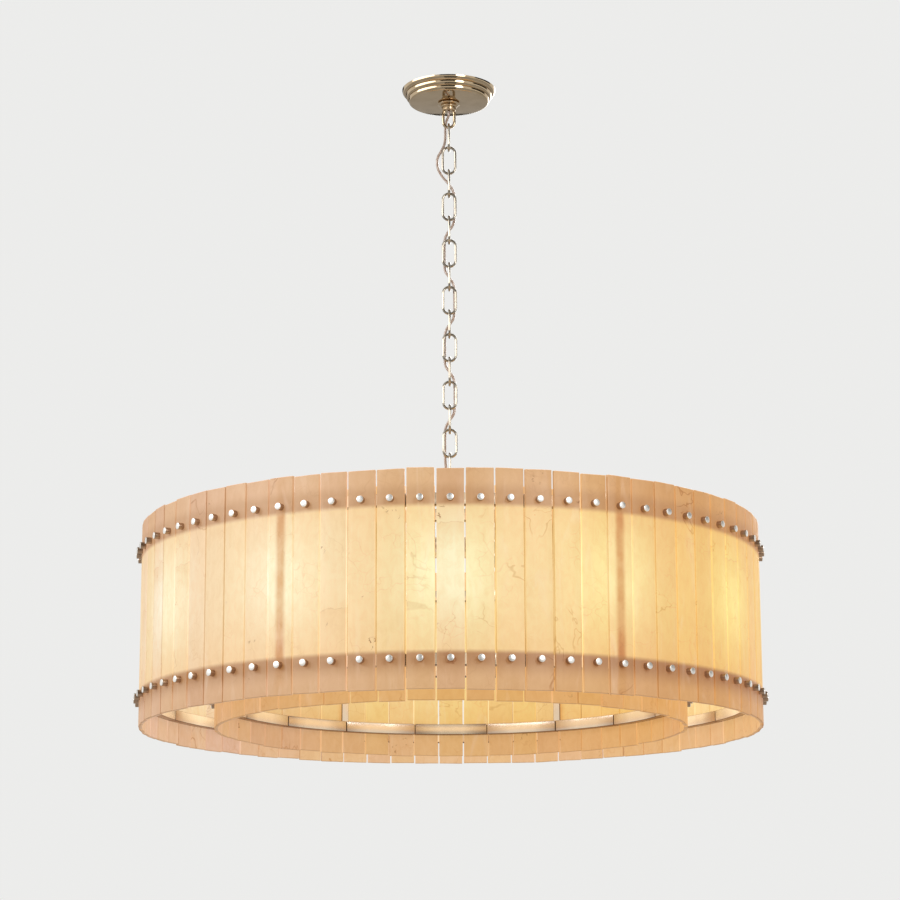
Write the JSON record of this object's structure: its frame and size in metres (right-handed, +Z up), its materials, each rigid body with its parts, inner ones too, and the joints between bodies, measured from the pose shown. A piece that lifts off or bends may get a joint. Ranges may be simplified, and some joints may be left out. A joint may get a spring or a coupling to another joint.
{
  "type": "chandelier",
  "caption": "Two-tier round chandelier: upright alabaster tiles studded to polished nickel rings in two coaxial drums, hung from a ceiling canopy on an oval link chain.",
  "frame": {"origin": "on the ceiling plane, at the chandelier's axis, on the top face of the ceiling bracket", "axes": "+Z up along the axis into the ceiling, -Y towards the front, +X to the right"},
  "size_m": [1.2436, 1.2436, 1.328],
  "materials": {
    "polished_nickel": "polished warm nickel",
    "bracket_steel": "plain plated steel",
    "outer_alabaster": "honed translucent alabaster, lit from inside",
    "inner_alabaster": "honed translucent alabaster, lit from inside",
    "clear_jacket": "clear jacket over pinkish wires",
    "frosted_glass": "frosted, glowing"
  },
  "bodies": {
    "ceiling": {"ceiling_bracket": "bracket_steel", "canopy_eye": "polished_nickel", "supply_cord": "clear_jacket"},
    "canopy_cover": {"canopy": "polished_nickel", "canopy_collar": "polished_nickel"},
    "link_01": {"chain_link_01": "polished_nickel"},
    "link_02": {"chain_link_02": "polished_nickel"},
    "link_03": {"chain_link_03": "polished_nickel"},
    "link_04": {"chain_link_04": "polished_nickel"},
    "link_05": {"chain_link_05": "polished_nickel"},
    "link_06": {"chain_link_06": "polished_nickel"},
    "link_07": {"chain_link_07": "polished_nickel"},
    "link_08": {"chain_link_08": "polished_nickel"},
    "link_09": {"chain_link_09": "polished_nickel"},
    "link_10": {"chain_link_10": "polished_nickel"},
    "link_11": {"chain_link_11": "polished_nickel"},
    "link_12": {"chain_link_12": "polished_nickel"},
    "link_13": {"chain_link_13": "polished_nickel"},
    "link_14": {"chain_link_14": "polished_nickel"},
    "link_15": {"chain_link_15": "polished_nickel"},
    "drum": {"drum_eye": "polished_nickel", "hub": "polished_nickel", "hub_nut": "polished_nickel", "arm_1": "polished_nickel", "arm_2": "polished_nickel", "arm_3": "polished_nickel", "arm_4": "polished_nickel", "arm_5": "polished_nickel", "arm_6": "polished_nickel", "outer_top_ring": "polished_nickel", "outer_bottom_ring": "polished_nickel", "inner_top_ring": "polished_nickel", "inner_bottom_ring": "polished_nickel", "outer_tile_panel_1": "outer_alabaster", "outer_tile_panel_2": "outer_alabaster", "outer_tile_panel_3": "outer_alabaster", "outer_tile_panel_4": "outer_alabaster", "outer_tile_panel_5": "outer_alabaster", "outer_tile_panel_6": "outer_alabaster", "inner_tile_panel_1": "inner_alabaster", "inner_tile_panel_2": "inner_alabaster", "inner_tile_panel_3": "inner_alabaster", "inner_tile_panel_4": "inner_alabaster", "inner_tile_panel_5": "inner_alabaster", "inner_tile_panel_6": "inner_alabaster", "lamp_ring": "polished_nickel", "bulb_01": "frosted_glass", "bulb_02": "frosted_glass", "bulb_03": "frosted_glass", "bulb_04": "frosted_glass", "bulb_05": "frosted_glass", "bulb_06": "frosted_glass", "bulb_07": "frosted_glass", "bulb_08": "frosted_glass", "bulb_09": "frosted_glass", "bulb_10": "frosted_glass", "bulb_11": "frosted_glass", "bulb_12": "frosted_glass"}
  },
  "joints": [
    {"name": "canopy_slide", "type": "slide", "parent": "ceiling", "child": "canopy_cover", "axis": [0, 0, -1], "range_m": [0, 0.025]},
    {"name": "link_01_swing", "type": "hinge", "parent": "ceiling", "child": "link_01", "pos_m": [0, 0, -0.0813], "axis": [1, 0, 0], "range_deg": [-15, 15], "deforming": ["supply_cord"]},
    {"name": "link_02_swing", "type": "hinge", "parent": "link_01", "child": "link_02", "pos_m": [0, 0, -0.131], "axis": [0, 1, 0], "range_deg": [-15, 15], "deforming": ["supply_cord"]},
    {"name": "link_03_swing", "type": "hinge", "parent": "link_02", "child": "link_03", "pos_m": [0, 0, -0.1807], "axis": [1, 0, 0], "range_deg": [-3, 3]},
    {"name": "link_04_swing", "type": "hinge", "parent": "link_03", "child": "link_04", "pos_m": [0, 0, -0.2304], "axis": [0, 1, 0], "range_deg": [-3, 3]},
    {"name": "link_05_swing", "type": "hinge", "parent": "link_04", "child": "link_05", "pos_m": [0, 0, -0.2801], "axis": [1, 0, 0], "range_deg": [-3, 3]},
    {"name": "link_06_swing", "type": "hinge", "parent": "link_05", "child": "link_06", "pos_m": [0, 0, -0.3298], "axis": [0, 1, 0], "range_deg": [-3, 3]},
    {"name": "link_07_swing", "type": "hinge", "parent": "link_06", "child": "link_07", "pos_m": [0, 0, -0.3795], "axis": [1, 0, 0], "range_deg": [-3, 3]},
    {"name": "link_08_swing", "type": "hinge", "parent": "link_07", "child": "link_08", "pos_m": [0, 0, -0.4292], "axis": [0, 1, 0], "range_deg": [-3, 3]},
    {"name": "link_09_swing", "type": "hinge", "parent": "link_08", "child": "link_09", "pos_m": [0, 0, -0.4789], "axis": [1, 0, 0], "range_deg": [-3, 3]},
    {"name": "link_10_swing", "type": "hinge", "parent": "link_09", "child": "link_10", "pos_m": [0, 0, -0.5286], "axis": [0, 1, 0], "range_deg": [-3, 3]},
    {"name": "link_11_swing", "type": "hinge", "parent": "link_10", "child": "link_11", "pos_m": [0, 0, -0.5783], "axis": [1, 0, 0], "range_deg": [-3, 3]},
    {"name": "link_12_swing", "type": "hinge", "parent": "link_11", "child": "link_12", "pos_m": [0, 0, -0.628], "axis": [0, 1, 0], "range_deg": [-3, 3]},
    {"name": "link_13_swing", "type": "hinge", "parent": "link_12", "child": "link_13", "pos_m": [0, 0, -0.6777], "axis": [1, 0, 0], "range_deg": [-3, 3]},
    {"name": "link_14_swing", "type": "hinge", "parent": "link_13", "child": "link_14", "pos_m": [0, 0, -0.7274], "axis": [0, 1, 0], "range_deg": [-3, 3]},
    {"name": "link_15_swing", "type": "hinge", "parent": "link_14", "child": "link_15", "pos_m": [0, 0, -0.7771], "axis": [1, 0, 0], "range_deg": [-3, 3]},
    {"name": "drum_swing", "type": "hinge", "parent": "link_15", "child": "drum", "pos_m": [0, 0, -0.8268], "axis": [0, 1, 0], "range_deg": [-3, 3]}
  ]
}
